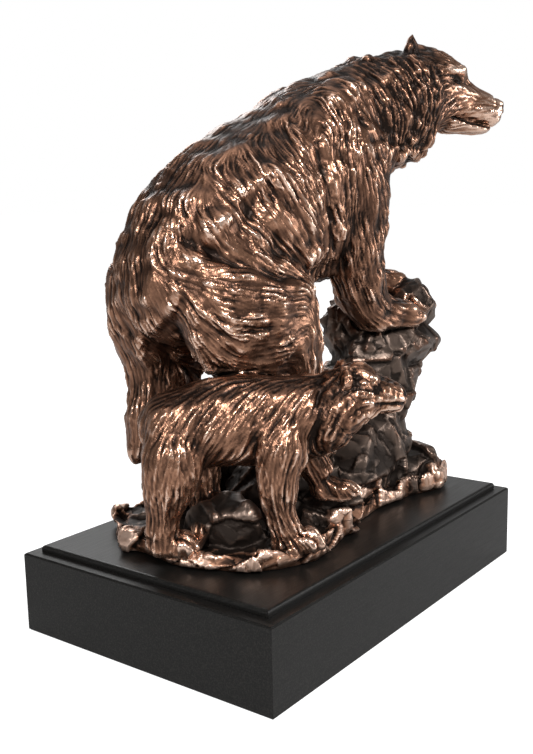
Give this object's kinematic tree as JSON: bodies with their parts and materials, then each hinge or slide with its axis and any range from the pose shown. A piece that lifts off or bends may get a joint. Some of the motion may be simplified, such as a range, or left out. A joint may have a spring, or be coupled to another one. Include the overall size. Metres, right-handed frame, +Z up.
{
  "type": "animal statue",
  "caption": "Bear statue with forepaws up on a rock and a cub walking beside it, cast in one piece on a stepped rectangular plinth.",
  "frame": {"origin": "middle of the plinth's underside", "axes": "+Z up, +X along the plinth's length towards the bear's head, -Y the side that the cub walks on"},
  "size_m": [0.2528, 0.1579, 0.2945],
  "materials": {
    "bronzed_resin": "cast resin with a copper-bronze finish, dark in the hollows and rubbed bright on the ridges",
    "black_wood": "satin black paint over wood"
  },
  "bodies": {
    "root": {"bear_and_cub_casting": "bronzed_resin", "plinth": "black_wood"}
  },
  "joints": []
}
